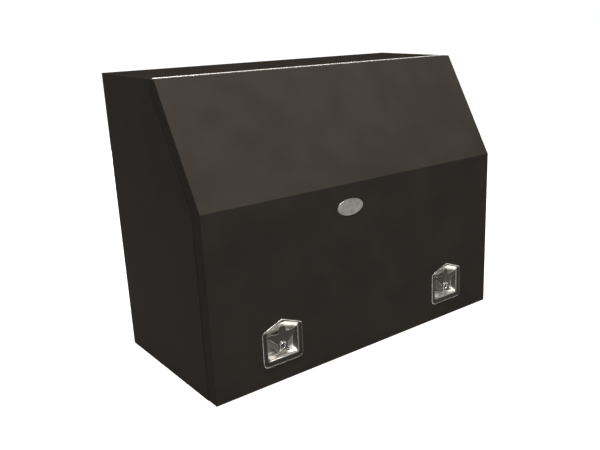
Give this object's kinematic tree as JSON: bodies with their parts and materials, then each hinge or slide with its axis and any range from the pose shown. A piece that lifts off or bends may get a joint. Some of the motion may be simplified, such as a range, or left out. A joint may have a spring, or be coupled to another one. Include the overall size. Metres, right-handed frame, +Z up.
{
  "type": "gullwing truck tool box",
  "caption": "Steel truck tool box with a flat back, a knee-bent sloping front lid hinged along the top, gas struts and recessed locking handles.",
  "frame": {"origin": "middle of the base, on the surface it stands on", "axes": "+X to the right when facing the lid, +Y towards the back, +Z up; the lid faces -Y"},
  "size_m": [1.22, 0.6, 0.96],
  "materials": {
    "powder_coat": "satin black powder coat with a fine orange peel",
    "latch_metal": "dark polished pressing, bright on its edges and ledges",
    "hinge_steel": "bright stainless",
    "plated_steel": "zinc plate",
    "lock_chrome": "bright chrome",
    "rod_chrome": "hard chrome",
    "strut_black": "gloss black",
    "seal_rubber": "matt black",
    "gasket_rubber": "matt black",
    "badge_metal": "bare satin plate"
  },
  "bodies": {
    "casing": {"floor_panel": "powder_coat", "back_panel": "powder_coat", "side_panel_left": "powder_coat", "side_panel_right": "powder_coat", "top_panel": "powder_coat", "door_jamb_left": "powder_coat", "door_jamb_right": "powder_coat", "door_seal": "seal_rubber", "hinge_leaf_casing": "hinge_steel", "hinge_pin": "hinge_steel", "hinge_rivets_casing": "hinge_steel", "strut_bracket_casing_left": "powder_coat", "latch_keeper_left": "plated_steel", "strut_bracket_casing_right": "powder_coat", "latch_keeper_right": "plated_steel"},
    "lid": {"lid_panel": "powder_coat", "lid_rib_left": "powder_coat", "lid_rib_right": "powder_coat", "lid_badge": "badge_metal", "hinge_leaf_lid": "hinge_steel", "hinge_rivets_lid": "hinge_steel", "strut_bracket_lid_left": "powder_coat", "latch_gasket_left": "gasket_rubber", "latch_dish_left": "latch_metal", "handle_pin_left": "latch_metal", "lock_barrel_left": "lock_chrome", "barrel_nut_left": "plated_steel", "strut_bracket_lid_right": "powder_coat", "latch_gasket_right": "gasket_rubber", "latch_dish_right": "latch_metal", "handle_pin_right": "latch_metal", "lock_barrel_right": "lock_chrome", "barrel_nut_right": "plated_steel"},
    "handle_left": {"latch_handle_left": "latch_metal"},
    "key_left": {"lock_plug_left": "lock_chrome", "latch_cam_left": "plated_steel", "cam_screw_left": "plated_steel"},
    "strut_tube_left": {"strut_tube_left": "strut_black"},
    "strut_rod_left": {"strut_rod_left": "rod_chrome"},
    "handle_right": {"latch_handle_right": "latch_metal"},
    "key_right": {"lock_plug_right": "lock_chrome", "latch_cam_right": "plated_steel", "cam_screw_right": "plated_steel"},
    "strut_tube_right": {"strut_tube_right": "strut_black"},
    "strut_rod_right": {"strut_rod_right": "rod_chrome"}
  },
  "joints": [
    {"name": "lid_hinge", "type": "hinge", "parent": "casing", "child": "lid", "pos_m": [0, -0.058, 0.9568], "axis": [-1, 0, 0], "range_deg": [0, 90]},
    {"name": "handle_lift_left", "type": "hinge", "parent": "lid", "child": "handle_left", "pos_m": [-0.361, -0.2935, 0.102], "axis": [1, 0, 0], "range_deg": [0, 90]},
    {"name": "key_turn_left", "type": "hinge", "parent": "lid", "child": "key_left", "pos_m": [-0.361, -0.28, 0.12], "axis": [0, 1, 0], "range_deg": [0, 90]},
    {"name": "strut_swing_left", "type": "hinge", "parent": "casing", "child": "strut_tube_left", "pos_m": [-0.562, 0.025, 0.64], "axis": [-1, 0, 0], "range_deg": [0, 1.46]},
    {"name": "rod_slide_left", "type": "slide", "parent": "strut_tube_left", "child": "strut_rod_left", "axis": [0, -0.4372, 0.8994], "range_m": [0, 0.11852]},
    {"name": "handle_lift_right", "type": "hinge", "parent": "lid", "child": "handle_right", "pos_m": [0.385, -0.2935, 0.102], "axis": [1, 0, 0], "range_deg": [0, 90]},
    {"name": "key_turn_right", "type": "hinge", "parent": "lid", "child": "key_right", "pos_m": [0.385, -0.28, 0.12], "axis": [0, 1, 0], "range_deg": [0, 90]},
    {"name": "strut_swing_right", "type": "hinge", "parent": "casing", "child": "strut_tube_right", "pos_m": [0.562, 0.025, 0.64], "axis": [-1, 0, 0], "range_deg": [0, 1.46]},
    {"name": "rod_slide_right", "type": "slide", "parent": "strut_tube_right", "child": "strut_rod_right", "axis": [0, -0.4372, 0.8994], "range_m": [0, 0.11852]}
  ],
  "couplings": [
    {"joint": "strut_swing_left", "follows": "lid_hinge", "ratio": 0.015693},
    {"joint": "rod_slide_left", "follows": "lid_hinge", "m_per_rad": 0.075326},
    {"joint": "strut_swing_right", "follows": "lid_hinge", "ratio": 0.015693},
    {"joint": "rod_slide_right", "follows": "lid_hinge", "m_per_rad": 0.075326}
  ]
}
